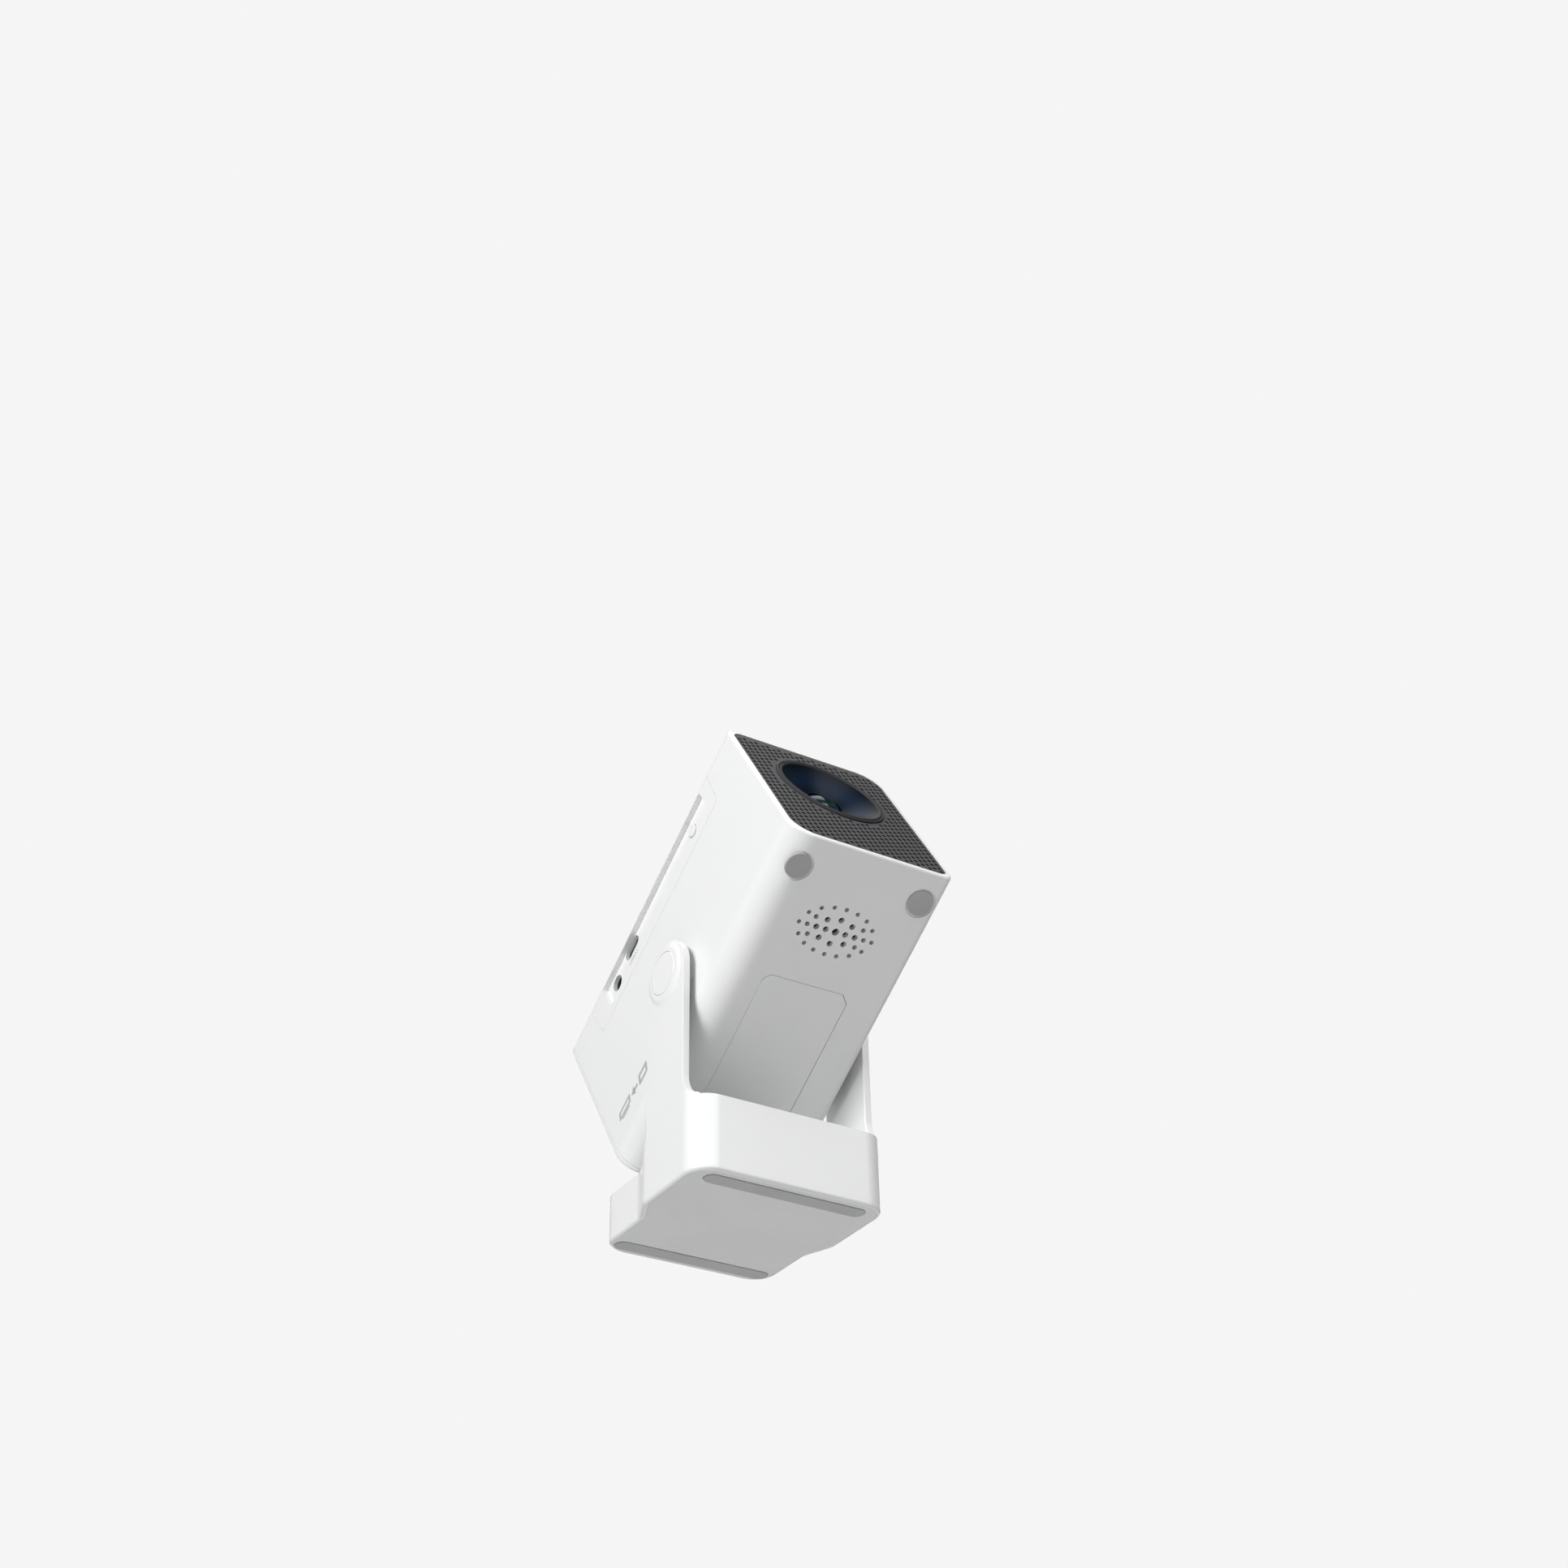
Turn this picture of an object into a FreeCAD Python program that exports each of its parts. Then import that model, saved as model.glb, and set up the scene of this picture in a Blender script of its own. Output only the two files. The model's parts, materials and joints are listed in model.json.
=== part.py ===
import FreeCAD, Part
import math
import os
import Sketcher

# A home projector on a tilting yoke stand, in millimetres.
# Stand frame: origin on the table under the middle of the base, +Z up, the lens side faces -Y.
# Head frame: origin on the tilt axis, lens side -Y, lid side +Z, then tilted lens up as a whole.

DIMENSIONS = (
    ("base_width", 83.0, "stand base, side to side"),
    ("base_depth", 83.0, "stand base, front to back"),
    ("base_corner", 10.0, "plan radius of the base's corners"),
    ("foot_proud", 0.4, "rubber strips stand this far below the base"),
    ("front_wall_top", 30.4, "height of the base at its front"),
    ("rear_deck_top", 19.2, "height of the low deck behind the arms"),
    ("waist", 5.2, "how far the sides step in behind the arms"),
    ("stand_wall", 2.4, "wall of the stand's moulding"),
    ("arm_width", 27.0, "yoke arm, front to back"),
    ("arm_thickness", 3.1, "yoke arm, side to side"),
    ("front_sweep", 10.6, "radius from the arm's front edge into the base"),
    ("rear_sweep", 10.0, "radius from the arm's rear edge into the deck"),
    ("boss_height", 1.4, "pivot boss stands this far out of the arm"),
    ("boss_face", 10.0, "radius of the pivot boss's flat face"),
    ("cap_radius", 8.7, "pivot cap"),
    ("pivot_y", -17.6, "tilt axis before the middle of the base"),
    ("pivot_z", 89.2, "tilt axis above the table"),
    ("journal", 6.0, "radius of the pivot hub where it turns in the arm"),
    ("running_gap", 0.05, "radial clearance of a turning fit"),
    ("tilt_at_rest", 33.0, "degrees that the lens points above level"),
    ("head_width", 71.0, "head, side to side"),
    ("head_front", 82.2, "tilt axis to the front rim"),
    ("head_rear", 71.2, "tilt axis to the rear face"),
    ("head_bottom", 28.4, "tilt axis to the underside"),
    ("head_top", 59.6, "tilt axis to the lid side"),
    ("small_edge", 3.5, "radius of two of the head's long edges"),
    ("large_edge", 11.0, "radius of the other two long edges"),
    ("rim_rounding", 1.3, "rounding of the front rim and the rear edge"),
    ("wall", 2.2, "wall of the head's mouldings"),
    ("grille_inset", 1.6, "grille edge inside the head's sides"),
    ("grille_corner", 4.8, "radius of the grille opening's two small corners"),
    ("grille_thickness", 1.8, "front grille"),
    ("grille_recess", 0.25, "grille face behind the front rim"),
    ("grille_hole", 0.9, "radius of a hole in the front grille"),
    ("grille_column", 2.64, "between columns of grille holes"),
    ("grille_pitch", 2.95, "between holes in one column"),
    ("seam", 0.12, "gap at a seam between mouldings"),
    ("lens_z", 25.0, "optical axis above the tilt axis"),
    ("dish_radius", 20.9, "mouth of the lens dish"),
    ("dish_depth", 6.4, "lens dish, front to floor"),
    ("dish_opening", 8.5, "radius of the opening in the dish's floor"),
    ("recess_depth", 2.2, "depth of the port recess"),
    ("button_radius", 2.8, "power button"),
    ("button_proud", 0.9, "power button above the recess floor"),
    ("foot_radius", 5.3, "round rubber foot"),
    ("gear_module", 0.8, "focus gears"),
    ("cell_radius", 16.0, "sliding lens cell"),
)

doc = FreeCAD.newDocument("HomeProjector")
sheet = doc.addObject("Spreadsheet::Sheet", "Dims")


class Size:
    """A length that carries its number and the spreadsheet expression it comes from."""

    def __init__(self, value, text=None):
        self.value = float(value)
        self.text = text or f"({float(value):.9g})"

    def join(self, other, sign, value):
        return Size(value, f"({self.text} {sign} {other.text})")

    def __add__(self, other):
        other = as_size(other)
        return self.join(other, "+", self.value + other.value)

    def __sub__(self, other):
        other = as_size(other)
        return self.join(other, "-", self.value - other.value)

    def __mul__(self, other):
        other = as_size(other)
        return self.join(other, "*", self.value * other.value)

    def __truediv__(self, other):
        other = as_size(other)
        return self.join(other, "/", self.value / other.value)

    def __radd__(self, other):
        return as_size(other) + self

    def __rsub__(self, other):
        return as_size(other) - self

    def __rmul__(self, other):
        return as_size(other) * self

    def __neg__(self):
        return Size(-self.value, f"(0 - {self.text})")


def as_size(number):
    """number as a Size."""
    return number if isinstance(number, Size) else Size(number)


class Dimensions:
    """The spreadsheet's named cells, as attributes that are Sizes."""


dim = Dimensions()
for line, (name, value, meaning) in enumerate(DIMENSIONS, start=1):
    sheet.set(f"A{line}", meaning)
    sheet.set(f"B{line}", str(value))
    sheet.setAlias(f"B{line}", name)
    setattr(dim, name, Size(value, f"Dims.{name}"))
doc.recompute()

PLANES = {"XY": "XY_Plane", "XZ": "XZ_Plane", "YZ": "YZ_Plane"}
LEAST_CUT = 0.001
TOUCH = 0.02
TILT = "(Dims.tilt_at_rest * 1 deg)"
parts = []


def put_in_head(thing, y=0, z=0):
    """Places a document object in the tilted head, its own origin moved to y, z there."""
    y, z = as_size(y), as_size(z)
    thing.Placement.Rotation = FreeCAD.Rotation(FreeCAD.Vector(1, 0, 0), -dim.tilt_at_rest.value)
    thing.setExpression("Placement.Rotation.Angle", f"0 deg - {TILT}")
    along = f"Dims.pivot_y + {y.text} * cos({TILT}) + {z.text} * sin({TILT})"
    height = f"Dims.pivot_z - {y.text} * sin({TILT}) + {z.text} * cos({TILT})"
    thing.setExpression("Placement.Base.y", along)
    thing.setExpression("Placement.Base.z", height)


def centre_of_arc(start, end, radius):
    """Centre of the short arc between two points; a positive radius turns left."""
    chord = end - start
    rise = math.sqrt(radius * radius - chord.Length * chord.Length / 4)
    left = FreeCAD.Vector(-chord.y, chord.x, 0) / chord.Length
    return (start + end) / 2 + left * math.copysign(rise, radius)


class Outline:
    """Draws closed outlines in one sketch, every dimension bound to its expression."""

    def __init__(self, sketch):
        self.sketch = sketch

    def bind(self, kind, *where, size):
        """Adds a dimensional constraint and ties it to the size's expression."""
        index = self.sketch.addConstraint(Sketcher.Constraint(kind, *where, size.value))
        if "Dims" in size.text:
            self.sketch.setExpression(f"Constraints[{index}]", size.text)

    def pin(self, geometry, point, x, y):
        """Places one point of a geometry from the sketch's origin."""
        self.bind("DistanceX", -1, 1, geometry, point, size=x)
        self.bind("DistanceY", -1, 1, geometry, point, size=y)

    def disc(self, x, y, radius):
        """A full circle."""
        x, y, radius = as_size(x), as_size(y), as_size(radius)
        centre = FreeCAD.Vector(x.value, y.value, 0)
        index = self.sketch.addGeometry(Part.Circle(centre, FreeCAD.Vector(0, 0, 1), radius.value))
        self.pin(index, 3, x, y)
        self.bind("Radius", index, size=radius)

    def path(self, corners):
        """A closed outline. A corner is (x, y), or (x, y, radius) when an arc leads to it."""
        places = [(as_size(corner[0]), as_size(corner[1])) for corner in corners]
        turns = [as_size(corner[2]) if len(corner) > 2 else None for corner in corners]
        made = []
        for step, turn in enumerate(turns):
            start, end = (FreeCAD.Vector(x.value, y.value, 0) for x, y in (places[step - 1], places[step]))
            if turn is None:
                made.append((self.sketch.addGeometry(Part.LineSegment(start, end)), 1, 2))
                continue
            centre = centre_of_arc(start, end, turn.value)
            circle = Part.Circle(centre, FreeCAD.Vector(0, 0, 1), abs(turn.value))
            if turn.value < 0:
                start, end = end, start
            angles = [math.atan2(point.y - centre.y, point.x - centre.x) for point in (start, end)]
            if angles[1] < angles[0]:
                angles[1] += math.tau
            arc = self.sketch.addGeometry(Part.ArcOfCircle(circle, *angles))
            made.append((arc, 1, 2) if turn.value > 0 else (arc, 2, 1))
        for step, (index, begin, finish) in enumerate(made):
            after, after_begin, _ = made[(step + 1) % len(made)]
            self.sketch.addConstraint(
                Sketcher.Constraint("Coincident", index, finish, after, after_begin))
            self.pin(index, finish, *places[step])
            if turns[step] is not None:
                turn = turns[step]
                self.bind("Radius", index, size=turn if turn.value > 0 else -turn)

    def block(self, left, right, bottom, top):
        """A plain rectangle."""
        self.path([(left, bottom), (right, bottom), (right, top), (left, top)])

    def rounded(self, left, right, bottom, top, radii):
        """A rectangle with a radius at its bottom left, bottom right, top right and top left."""
        left, right, bottom, top = (as_size(side) for side in (left, right, bottom, top))
        first, second, third, fourth = (as_size(radius) for radius in radii)
        self.path([
            (left, bottom + first), (left + first, bottom, first),
            (right - second, bottom), (right, bottom + second, second),
            (right, top - third), (right - third, top, third),
            (left + fourth, top), (left, top - fourth, fourth),
        ])

    def slot(self, x, y, length, width):
        """A stadium lying along the sketch's horizontal."""
        x, y, length, radius = as_size(x), as_size(y), as_size(length), as_size(width) / 2
        reach = length / 2 - radius
        self.path([
            (x + reach, y - radius), (x + length / 2, y, radius), (x + reach, y + radius, radius),
            (x - reach, y + radius), (x - length / 2, y, radius), (x - reach, y - radius, radius),
        ])


class Piece:
    """One sub-part: a PartDesign body with short ways to add sketched features."""

    def __init__(self, label, in_head=None):
        self.body = doc.addObject("PartDesign::Body", label)
        self.body.Label = label
        self.label = label
        self.count = 0
        parts.append(self.body)
        if in_head is not None:
            put_in_head(self.body, *in_head)

    def sketch(self, plane, level, up=0):
        """A sketch parallel to an origin plane, level along its axis, its own origin moved up."""
        self.count += 1
        sketch = self.body.newObject("Sketcher::SketchObject", f"{self.label}_sketch{self.count}")
        role = PLANES[plane]
        support = next(item for item in self.body.Origin.OriginFeatures if item.Role == role)
        sketch.AttachmentSupport = [(support, "")]
        sketch.MapMode = "FlatFace"
        level = -as_size(level) if plane == "XZ" else as_size(level)
        for axis, move in (("y", up), ("z", level)):
            sketch.setExpression(f"AttachmentOffset.Base.{axis}", as_size(move).text)
        return sketch

    def feature(self, kind, sketch):
        """A feature made from a sketch."""
        made = self.body.newObject(f"PartDesign::{kind}", f"{self.label}_{kind.lower()}{self.count}")
        made.Profile = sketch
        sketch.Visibility = False
        return made

    def add(self, plane, start, length, draw):
        """Pads an outline from start, towards the positive side of the plane's axis."""
        sketch = self.sketch(plane, start)
        draw(Outline(sketch))
        pad = self.feature("Pad", sketch)
        pad.Reversed = plane == "XZ"
        pad.setExpression("Length", as_size(length).text)
        doc.recompute()
        return pad

    def cut(self, plane, start, length, draw):
        """Pockets an outline from start, towards the positive side of the plane's axis."""
        before = self.body.Shape.Volume
        sketch = self.sketch(plane, start)
        draw(Outline(sketch))
        pocket = self.feature("Pocket", sketch)
        pocket.Reversed = plane != "XZ"
        pocket.setExpression("Length", as_size(length).text)
        doc.recompute()
        if self.body.Shape.Volume > before - LEAST_CUT:
            raise RuntimeError(f"{pocket.Name} cuts nothing")

    def turn(self, plane, corners, level=0, up=0):
        """Turns a profile of (along, radius) corners about the sketch's horizontal axis."""
        sketch = self.sketch(plane, level, up)
        Outline(sketch).path(corners)
        self.feature("Revolution", sketch).ReferenceAxis = (sketch, ["H_Axis"])
        doc.recompute()

    def repeat_round(self, feature, count):
        """Repeats a feature round the piece's own Y axis."""
        axis = next(item for item in self.body.Origin.OriginFeatures if item.Role == "Y_Axis")
        pattern = self.body.newObject("PartDesign::PolarPattern", f"{self.label}_pattern{self.count}")
        pattern.Originals = [feature]
        pattern.Axis = (axis, [""])
        pattern.Angle = 360
        pattern.Occurrences = count
        self.body.Tip = pattern
        doc.recompute()

    def repeat_along(self, feature, role, length, count):
        """Repeats a feature in a row along one of the piece's own axes."""
        axis = next(item for item in self.body.Origin.OriginFeatures if item.Role == role)
        pattern = self.body.newObject("PartDesign::LinearPattern", f"{self.label}_row{self.count}")
        pattern.Originals = [feature]
        pattern.Direction = (axis, [""])
        pattern.setExpression("Length", as_size(length).text)
        pattern.Occurrences = count
        self.body.Tip = pattern
        doc.recompute()

    def fillet(self, radius, chosen):
        """A fillet on every edge that the test picks, in the piece's own frame."""
        base = self.body.Tip
        names = [f"Edge{number}" for number, edge in enumerate(base.Shape.Edges, 1) if chosen(edge)]
        if not names:
            raise RuntimeError(f"{self.label}: no edge to round")
        self.count += 1
        made = self.body.newObject("PartDesign::Fillet", f"{self.label}_fillet{self.count}")
        made.Base = (base, names)
        made.setExpression("Radius", as_size(radius).text)
        doc.recompute()


def flat_on(edge, axis, level):
    """True if an edge lies in the plane axis = level."""
    box = edge.BoundBox
    low, high = (getattr(box, axis.upper() + end) for end in ("Min", "Max"))
    level = as_size(level).value
    return abs(low - level) < TOUCH and abs(high - level) < TOUCH


def between(edge, axis, low, high):
    """True if an edge lies between two levels along an axis."""
    box = edge.BoundBox
    start, end = (getattr(box, axis.upper() + side) for side in ("Min", "Max"))
    return start > as_size(low).value - TOUCH and end < as_size(high).value + TOUCH


def screws(label, spots, direction, shank, shank_length, head, head_height, in_head=True):
    """Identical screws as one group: a head cylinder on a shank, pointing along direction."""
    turn = FreeCAD.Rotation(FreeCAD.Vector(0, 0, 1), FreeCAD.Vector(*direction))
    made = []
    for number, spot in enumerate(spots, 1):
        body = doc.addObject("Part::Cylinder", f"{label}_shank{number}")
        body.Radius = shank
        body.Height = shank_length
        cap = doc.addObject("Part::Cylinder", f"{label}_head{number}")
        cap.Radius = head
        cap.Height = head_height
        body.Placement = FreeCAD.Placement(FreeCAD.Vector(*spot), turn)
        back = FreeCAD.Vector(*direction) * -head_height
        cap.Placement = FreeCAD.Placement(FreeCAD.Vector(*spot) + back, turn)
        whole = doc.addObject("Part::MultiFuse", f"{label}_{number}")
        whole.Shapes = [body, cap]
        made.append(whole)
    group = doc.addObject("Part::Compound", label)
    group.Label = label
    group.Links = made
    if in_head:
        put_in_head(group)
    parts.append(group)
    doc.recompute()


# ---------------------------------------------------------------- shared places

half_base = dim.base_width / 2
base_front = -dim.base_depth / 2
base_rear = dim.base_depth / 2
arm_inner = half_base - dim.arm_thickness
arm_front = dim.pivot_y - dim.arm_width / 2
arm_rear = dim.pivot_y + dim.arm_width / 2
narrow_half = half_base - dim.waist
WAIST_START = -2.0
WAIST_END = 10.5
WAIST_ROUNDING = 9.0
STRIPS = (("front_foot_strip", -34.3, 34.0), ("rear_foot_strip", 34.3, 33.3))
STRIP_DEPTH = 0.8
STRIP_WIDTH = 7.0
PLATE_INSET = 1.6
BASE_ROUNDING = 1.4
PLATE_THICKNESS = 2.6
PLATE_SCREWS = ((-27.0, -34.3), (27.0, -34.3), (-27.0, 34.3), (27.0, 34.3))
CAP_THICKNESS = 0.9
PIVOT_FLOOR = 40.2

half_head = dim.head_width / 2
front = -dim.head_front
rear = dim.head_rear
under = -dim.head_bottom
lid = dim.head_top
cover_front = rear - dim.wall
inner_half = half_head - dim.wall
GRILLE_SEAT = 2.45
MESH_THICKNESS = 0.25
LEDGE_DEPTH = 1.5
LEDGE_WIDTH = 1.2
grille_face = front + dim.grille_recess
HEAD_SCREWS = ((-28.95, -22.05), (30.7, -23.9), (28.95, 53.05), (-30.7, 54.8))
SPEAKER_Y = -48.0
FOOT_X = 27.0
FOOT_Y = -69.0
COVER_SEAT = 1.4
COVER_STEP = 1.6
PANEL_TOP = 58.0
RECESS = (-54.0, 40.0, 43.4, 56.4)
TRAY = (-56.0, 42.0, 41.4, 57.0)
TRAY_BACK = -31.6
BUTTON = (-39.9, 50.9)
USB_SLOT = (17.0, 53.7)
DC_HOLE = (32.8, 51.4)
PINION_X = -24.95
ENGINE_SCREWS = ((-27.4, -17.4), (27.4, -17.4), (-27.4, 17.4), (27.4, 17.4))
TUNNEL_HALF = 31.0
TUNNEL_RISE = 21.0
TUNNEL_FRONT = -24.0
TUNNEL_REAR = 36.0
FAN_FRONT = 58.9
BOARD_UNDER = -12.0
VIDEO_X = -18.0


def leaf(draw, inset, small=None):
    """The head's cross-section, moved inwards: two small and two large long edges."""
    inset = as_size(inset)
    if small is None:
        small = dim.small_edge - inset if dim.small_edge.value - inset.value > 0.4 else Size(0.4)
    large = dim.large_edge - inset
    half = half_head - inset
    draw.rounded(-half, half, under + inset, lid - inset, (large, small, large, small))


def base_block(label, bottom, height):
    """A block with the base's plan, full width beside the arms and narrower behind them."""
    block = Piece(label)
    block.add("XY", bottom, height, lambda draw: draw.path([
        (-half_base, base_front), (half_base, base_front), (half_base, WAIST_START),
        (narrow_half, WAIST_END), (narrow_half, base_rear), (-narrow_half, base_rear),
        (-narrow_half, WAIST_END), (-half_base, WAIST_START),
    ]))

    def upright(edge):
        box = edge.BoundBox
        return box.XLength < TOUCH and box.YLength < TOUCH

    def at_waist(edge):
        return upright(edge) and between(edge, "y", WAIST_START - 1, WAIST_END + 1)

    def at_corner(edge):
        return upright(edge) and not between(edge, "y", WAIST_START - 1, WAIST_END + 1)

    block.fillet(dim.base_corner, at_corner)
    block.fillet(WAIST_ROUNDING, at_waist)
    return block


# ---------------------------------------------------------------- the stand

def make_stand_yoke():
    """One moulding: hollow base, high front wall, low rear deck and two upright arms."""
    crown = dim.pivot_z + dim.arm_width / 2
    above = crown + 2
    low = dim.rear_deck_top
    high = dim.front_wall_top
    far = half_base + 2
    yoke = base_block("stand_yoke", dim.foot_proud, crown + 1 - dim.foot_proud)
    yoke.fillet(BASE_ROUNDING, lambda edge: flat_on(edge, "z", dim.foot_proud))

    def behind_arms(draw):
        draw.path([(arm_rear, above), (arm_rear, low + dim.rear_sweep),
                   (arm_rear + dim.rear_sweep, low, dim.rear_sweep),
                   (base_rear + 2, low), (base_rear + 2, above)])

    def before_arms(draw):
        draw.path([(base_front - 2, above), (base_front - 2, high), (arm_front - dim.front_sweep, high),
                   (arm_front, high + dim.front_sweep, dim.front_sweep), (arm_front, above)])

    def outside_crown(draw):
        radius = dim.arm_width / 2
        draw.path([(arm_rear + 2, dim.pivot_z), (arm_rear + 2, above), (arm_front - 2, above),
                   (arm_front - 2, dim.pivot_z), (arm_front, dim.pivot_z),
                   (dim.pivot_y, crown, -radius), (arm_rear, dim.pivot_z, -radius)])

    yoke.cut("YZ", -far, far * 2, behind_arms)
    yoke.cut("YZ", -far, far * 2, before_arms)
    yoke.cut("YZ", -far, far * 2, outside_crown)
    yoke.cut("YZ", -arm_inner, arm_inner * 2,
             lambda draw: draw.block(base_front - 2, base_rear + 2, high, above))
    yoke.cut("YZ", -arm_inner, arm_inner * 2,
             lambda draw: draw.block(arm_rear, base_rear + 2, low, high + 1))

    # Hollow from below: a recess for the plate, then two depths of cavity.
    plate_seat = dim.foot_proud + PLATE_THICKNESS
    shell = dim.stand_wall
    yoke.cut("XY", dim.foot_proud, PLATE_THICKNESS,
             lambda draw: base_cavity(draw, as_size(PLATE_INSET), dim.base_corner - PLATE_INSET,
                                      base_rear - PLATE_INSET))
    yoke.cut("XY", plate_seat, low - shell - plate_seat,
             lambda draw: base_cavity(draw, shell + 1, 7.0, base_rear - shell - 1))
    inside = arm_inner - 1.6
    yoke.cut("XY", plate_seat, high - shell - plate_seat,
             lambda draw: draw.rounded(-inside, inside, base_front + shell + 1, arm_rear - shell,
                                       (7.0, 7.0, 1.5, 1.5)))
    for x, y in PLATE_SCREWS:
        ceiling = (high if y < 0 else low) - shell
        yoke.add("XY", plate_seat + 0.1, ceiling - plate_seat + 0.4, lambda draw: draw.disc(x, y, 3.2))
        yoke.cut("XY", plate_seat + 0.1, 8.5, lambda draw: draw.disc(x, y, 1.3))

    for side in (-1, 1):
        face = side * half_base
        proud = side * (half_base + dim.boss_height)
        yoke.turn("XY", [(face - side * 0.3, 0), (face - side * 0.3, 13.2), (face, 13.2),
                         (proud, dim.boss_face), (proud, 0)], level=dim.pivot_z, up=dim.pivot_y)
    hole = dim.journal + dim.running_gap
    yoke.cut("YZ", -far, far * 2, lambda draw: draw.disc(dim.pivot_y, dim.pivot_z, hole))
    recess = dim.cap_radius + 0.1
    depth = half_base + dim.boss_height - PIVOT_FLOOR
    for start in (-PIVOT_FLOOR - depth, as_size(PIVOT_FLOOR)):
        yoke.cut("YZ", start, depth, lambda draw: draw.disc(dim.pivot_y, dim.pivot_z, recess))


def base_cavity(draw, inset, radius, back):
    """A rounded outline inside the base that keeps clear of the waist."""
    half = half_base - inset
    narrow = narrow_half - inset
    y_front = base_front + inset
    radius = as_size(radius)
    draw.path([
        (-half, y_front + radius), (-half + radius, y_front, radius),
        (half - radius, y_front), (half, y_front + radius, radius),
        (half, WAIST_START - 2), (narrow, WAIST_END - 2),
        (narrow, back - radius), (narrow - radius, back, radius),
        (-narrow + radius, back), (-narrow, back - radius, radius),
        (-narrow, WAIST_END - 2), (-half, WAIST_START - 2),
    ])


def make_stand_small_parts():
    """Base plate, rubber strips, ballast and what holds the tilt axis together."""
    gap = 0.1
    plate = Piece("base_plate")
    plate.add("XY", dim.foot_proud, PLATE_THICKNESS - gap,
              lambda draw: base_cavity(draw, as_size(PLATE_INSET + gap),
                                       dim.base_corner - PLATE_INSET - gap,
                                       base_rear - PLATE_INSET - gap))
    for _, y, reach in STRIPS:
        plate.cut("XY", dim.foot_proud, STRIP_DEPTH,
                  lambda draw: draw.slot(0, y, 2 * reach + 0.3, STRIP_WIDTH + 0.3))
    for x, y in PLATE_SCREWS:
        plate.cut("XY", dim.foot_proud, PLATE_THICKNESS, lambda draw: draw.disc(x, y, 1.7))
        plate.cut("XY", dim.foot_proud + STRIP_DEPTH, 0.9, lambda draw: draw.disc(x, y, 2.9))
    for name, y, reach in STRIPS:
        strip = Piece(name)
        strip.add("XY", 0, dim.foot_proud + STRIP_DEPTH - 0.05,
                  lambda draw: draw.slot(0, y, 2 * reach, STRIP_WIDTH))
        strip.fillet(0.25, lambda edge: flat_on(edge, "z", 0))
    spots = [(x, y, dim.foot_proud.value + STRIP_DEPTH + 0.85) for x, y in PLATE_SCREWS]
    screws("base_plate_screws", spots, (0, 0, 1), 1.25, 7.0, 2.6, 0.8, in_head=False)
    weight = Piece("ballast_weight")
    weight.add("XY", dim.foot_proud + PLATE_THICKNESS + 0.1, 9.0,
               lambda draw: draw.rounded(-20, 20, -32, 32, (4, 4, 4, 4)))

    for word, side in (("left", -1), ("right", 1)):
        face = side * (half_base + dim.boss_height + 0.1)
        cap = Piece(f"{word}_pivot_cap")
        cap.turn("XY", [(face, 0), (face, dim.cap_radius - 0.3), (face - side * 0.3, dim.cap_radius),
                        (face - side * CAP_THICKNESS, dim.cap_radius), (face - side * CAP_THICKNESS, 0)],
                 level=dim.pivot_z, up=dim.pivot_y)
        washer = Piece(f"{word}_friction_washer", (0, 0))
        floor = side * (PIVOT_FLOOR + 0.05)
        washer.turn("XY", [(floor, 2.2), (floor, 8.0), (floor + side * 0.45, 8.0),
                           (floor + side * 0.45, 2.2)])
        hub = Piece(f"{word}_pivot_hub", (0, 0))
        inside = side * (inner_half - 0.1)
        flange = side * (inner_half - 2.1)
        hub.turn("XY", [(flange, 2.05), (flange, 9.0), (inside, 9.0), (inside, dim.journal),
                        (as_size(side * PIVOT_FLOOR), dim.journal), (as_size(side * PIVOT_FLOOR), 2.05)])
        screw = Piece(f"{word}_pivot_screw", (0, 0))
        seat = side * (PIVOT_FLOOR + 0.55)
        tip = side * (inner_half - 1.0)
        screw.turn("XY", [(tip, 0), (tip, 2.0), (as_size(seat), 2.0), (as_size(seat), 6.2),
                          (as_size(seat + side * 0.8), 6.2), (as_size(seat + side * 1.1), 5.4),
                          (as_size(seat + side * 1.1), 0)])


# ---------------------------------------------------------------- the head's shell

def panel_outline(draw, grow):
    """The port panel's outline on the side: rounded lower corners, ends that lean outwards."""
    low = 39.0 - grow
    top = PANEL_TOP + grow
    radius = 3.0 + grow
    front_end = -60.3 - grow
    rear_end = 49.8 + grow
    draw.path([
        (front_end, low + radius), (front_end + radius, low, radius),
        (rear_end - radius, low), (rear_end, low + radius, radius),
        (rear_end, 46.0), (rear_end + 0.8, 55.0), (rear_end + 0.8, top),
        (front_end - 1.1, top), (front_end - 1.1, 55.0), (front_end, 46.0),
    ])


def cover_outline(draw, grow):
    """The underside cover's outline: one rounded and one bevelled front corner."""
    left, right, near, far = -18.7 - grow, 18.9 + grow, -24.3 - grow, 50.0 + grow
    draw.path([
        (left, near + 4), (left + 4, near, 4), (right - 3.5, near), (right, near + 3.5),
        (right, far - 3), (right - 3, far, 3), (left + 3, far), (left, far - 3, 3),
    ])


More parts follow.
